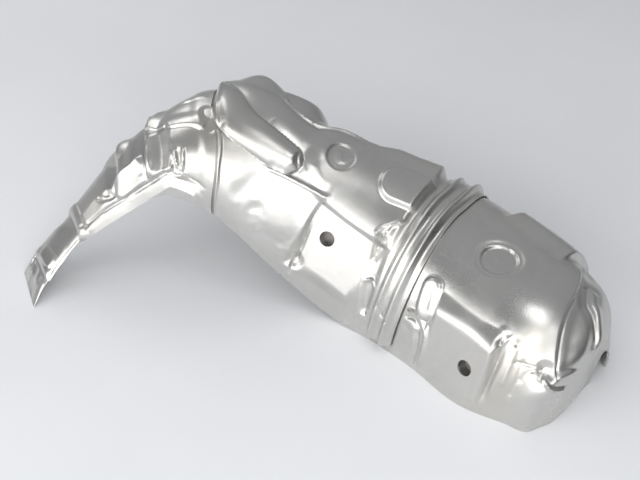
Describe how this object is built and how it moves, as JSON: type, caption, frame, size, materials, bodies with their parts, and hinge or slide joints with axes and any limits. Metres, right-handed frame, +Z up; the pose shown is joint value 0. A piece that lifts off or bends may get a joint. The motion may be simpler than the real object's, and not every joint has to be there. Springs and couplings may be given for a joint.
{
  "type": "exhaust manifold heat shield",
  "caption": "Pressed sheet-metal half shell that shields an exhaust manifold's runner, collector and close-coupled converter, open underneath.",
  "frame": {"origin": "middle of the footprint's box, on the ground that the rim and the foot tip stand on", "axes": "+X along the converter from the collector towards the pipe exit, +Y towards the side away from the bolts, +Z up"},
  "size_m": [0.3086, 0.258, 0.1197],
  "materials": {
    "outer_sheet": "bright pressed steel sheet with an aluminised skin, softly polished, with fine scratches and grey stains",
    "liner_sheet": "dull rolled steel sheet",
    "insulation": "needled off-white mineral fibre mat",
    "bush_steel": "zinc-plated turned steel"
  },
  "bodies": {
    "root": {"foot_tab": "outer_sheet", "arm_outer_panel": "outer_sheet", "collector_outer_panel": "outer_sheet", "converter_outer_panel": "outer_sheet", "joint_collar": "outer_sheet", "arm_insulation_mat": "insulation", "collector_insulation_mat": "insulation", "converter_insulation_mat": "insulation", "arm_inner_liner": "liner_sheet", "collector_inner_liner": "liner_sheet", "converter_inner_liner": "liner_sheet", "collector_spacer_bush": "bush_steel", "converter_spacer_bush": "bush_steel"}
  },
  "joints": []
}
